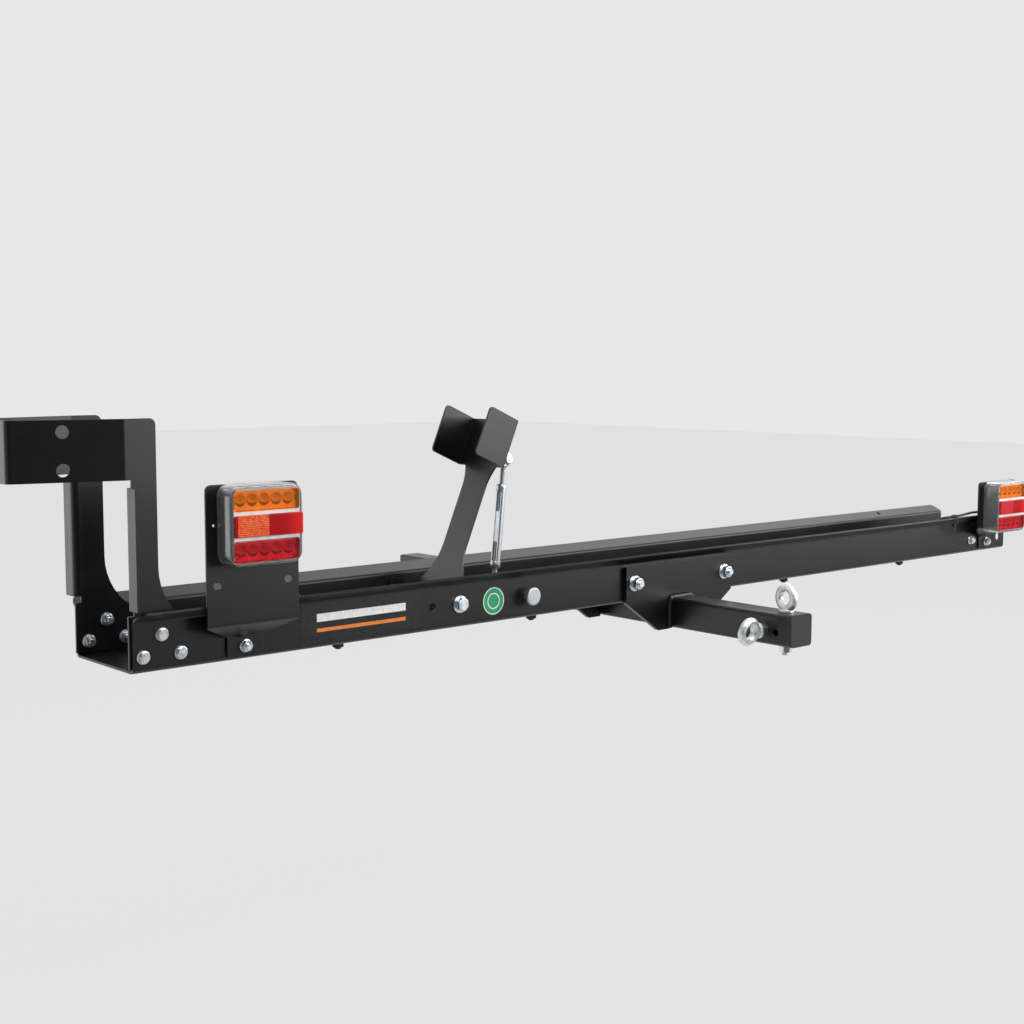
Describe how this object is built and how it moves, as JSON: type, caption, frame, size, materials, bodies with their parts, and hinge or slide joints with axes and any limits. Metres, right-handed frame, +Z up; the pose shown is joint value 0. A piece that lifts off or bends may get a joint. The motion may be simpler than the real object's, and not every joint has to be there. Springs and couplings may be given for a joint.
{
  "type": "hitch motorcycle carrier",
  "caption": "Folded steel wheel channel on a square hitch tube, with a front chock, a swinging wheel support on a turnbuckle, strap eyes and lamps.",
  "frame": {"origin": "centre of the hitch pin bore in the tongue", "axes": "+X along the wheel channel from the chock to the rear end and along the hitch pin, +Y along the tongue towards the vehicle, +Z up"},
  "size_m": [2.138, 0.985, 0.3852],
  "materials": {
    "black_powder_coat": "satin fine-texture powder coat",
    "bright_zinc": "bright blue-white zinc plating",
    "galvanised_steel": "grey electro-galvanised",
    "black_zinc": "black zinc plating",
    "black_nylon": "moulded nylon",
    "lamp_housing": "moulded housing",
    "clear_lens": "clear moulded lens",
    "amber_lens": "translucent amber",
    "red_reflector": "prismatic red reflector",
    "red_lens": "translucent red",
    "lamp_board": "coated circuit board",
    "lamp_diodes": "clear resin",
    "black_rubber": "soft sheath",
    "label_black": "laminated film with a white border",
    "label_green": "laminated film with a white border"
  },
  "bodies": {
    "root": {"track_channel": "black_powder_coat", "wheel_chock": "black_powder_coat", "chock_bolts": "bright_zinc", "chock_nuts": "bright_zinc", "hitch_tube": "black_powder_coat", "tube_end_cap": "black_nylon", "saddle_plate_near": "black_powder_coat", "saddle_plate_far": "black_powder_coat", "saddle_welds": "black_powder_coat", "saddle_bolts": "bright_zinc", "saddle_nuts": "bright_zinc", "arm_pivot_bolts": "bright_zinc", "arm_pivot_nuts": "bright_zinc", "eyebolt_top": "bright_zinc", "eyebolt_side": "bright_zinc", "eyebolt_nuts": "bright_zinc", "eyebolt_spacer": "bright_zinc", "left_lamp_bracket": "black_powder_coat", "right_lamp_bracket": "black_powder_coat", "bracket_bolts": "bright_zinc", "bracket_nuts": "bright_zinc", "left_lamp_base": "lamp_housing", "left_lamp_lens": "clear_lens", "left_lamp_amber": "amber_lens", "left_lamp_reflector": "red_reflector", "left_lamp_tail": "red_lens", "left_lamp_board": "lamp_board", "left_lamp_leds": "lamp_diodes", "right_lamp_base": "lamp_housing", "right_lamp_lens": "clear_lens", "right_lamp_amber": "amber_lens", "right_lamp_reflector": "red_reflector", "right_lamp_tail": "red_lens", "right_lamp_board": "lamp_board", "right_lamp_leds": "lamp_diodes", "lamp_screws": "bright_zinc", "lamp_grommets": "black_rubber", "lamp_cable": "black_rubber", "cable_tie": "black_nylon", "cable_clips": "black_nylon", "clip_bolts": "black_zinc", "clip_nuts": "black_zinc", "side_label": "label_black", "round_label": "label_green"},
    "support": {"support_arm": "black_powder_coat", "turnbuckle_lug": "black_powder_coat", "lug_bolt": "bright_zinc", "lug_nut": "bright_zinc"},
    "lower_eye": {"turnbuckle_lower_eye": "galvanised_steel"},
    "buckle": {"turnbuckle_body": "galvanised_steel"},
    "upper_eye": {"turnbuckle_upper_eye": "galvanised_steel"},
    "clevis_pin": {"clevis_pin": "galvanised_steel", "clevis_pin_ball": "bright_zinc"}
  },
  "joints": [
    {"name": "support_swing", "type": "hinge", "parent": "root", "child": "support", "pos_m": [-0.466, -0.588, 0.059], "axis": [0, -1, 0], "range_deg": [-6, 22]},
    {"name": "turnbuckle_swing", "type": "hinge", "parent": "root", "child": "lower_eye", "pos_m": [-0.336, -0.588, 0.059], "axis": [0, -1, 0], "range_deg": [-6.39, 22.08]},
    {"name": "body_travel", "type": "slide", "parent": "lower_eye", "child": "buckle", "axis": [0.1037, 0, 0.9946], "range_m": [-0.00727, 0.02533]},
    {"name": "rod_travel", "type": "slide", "parent": "buckle", "child": "upper_eye", "axis": [0.1037, 0, 0.9946], "range_m": [-0.00727, 0.02533]},
    {"name": "clevis_pin_pull", "type": "slide", "parent": "root", "child": "clevis_pin", "axis": [0, -1, 0], "range_m": [-0.011, 0.17]}
  ],
  "couplings": [
    {"joint": "turnbuckle_swing", "follows": "support_swing", "ratio": 0.981},
    {"joint": "body_travel", "follows": "support_swing", "m_per_rad": 0.06466},
    {"joint": "rod_travel", "follows": "support_swing", "m_per_rad": 0.06466}
  ]
}
